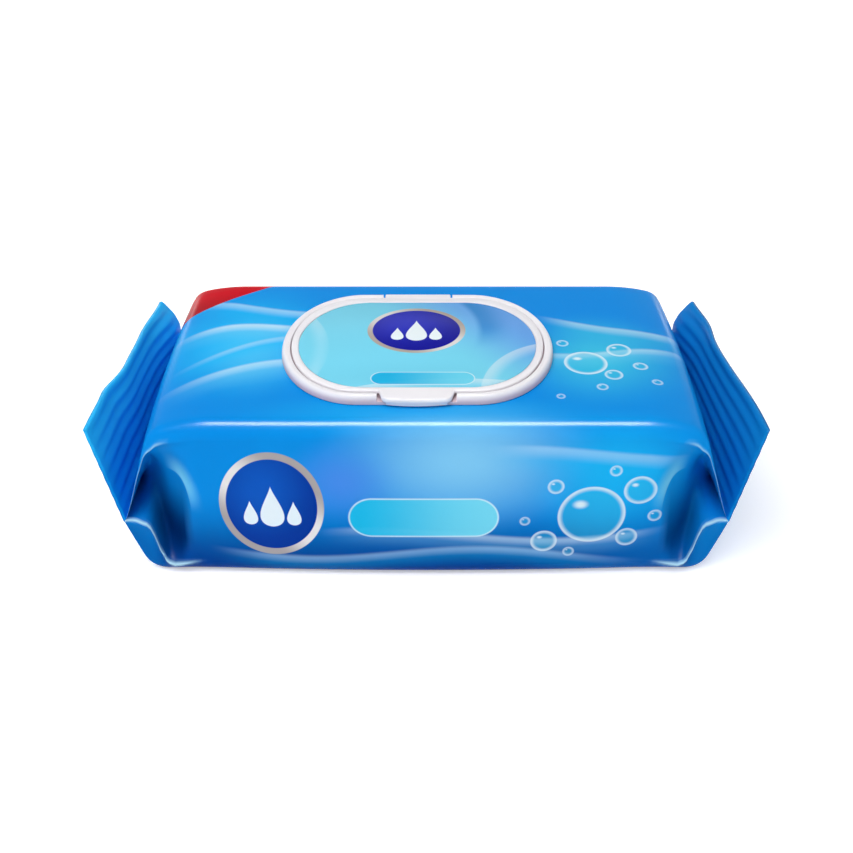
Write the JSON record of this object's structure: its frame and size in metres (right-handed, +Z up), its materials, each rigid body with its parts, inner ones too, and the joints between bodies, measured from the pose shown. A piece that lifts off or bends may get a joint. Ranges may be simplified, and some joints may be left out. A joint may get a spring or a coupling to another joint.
{
  "type": "wet wipes pack",
  "caption": "Sealed film pack of wet wipes with crimped, gusseted ends and a moulded flip-top lid on a living hinge over the dispensing opening.",
  "frame": {"origin": "middle of the underside, on the surface the pack rests on", "axes": "+Z up, +X along the pack's length, -Y to the front, where the lid's finger tab is"},
  "size_m": [0.2278, 0.11, 0.0679],
  "materials": {
    "printed_film": "glossy laminated film, blue print",
    "white_moulding": "satin injection moulding, white",
    "printed_label": "glossy label, pale blue print",
    "seal_label_film": "thin peelable label"
  },
  "bodies": {
    "pack": {"film_pack": "printed_film", "lid_base": "white_moulding", "seal_label": "seal_label_film", "hinge_web": "white_moulding"},
    "lid": {"lid": "white_moulding", "lid_label": "printed_label"}
  },
  "joints": [
    {"name": "lid_hinge", "type": "hinge", "parent": "pack", "child": "lid", "pos_m": [-0.0033, 0.0339, 0.0657], "axis": [-1, 0, 0], "range_deg": [0, 120], "deforming": ["hinge_web"]}
  ]
}
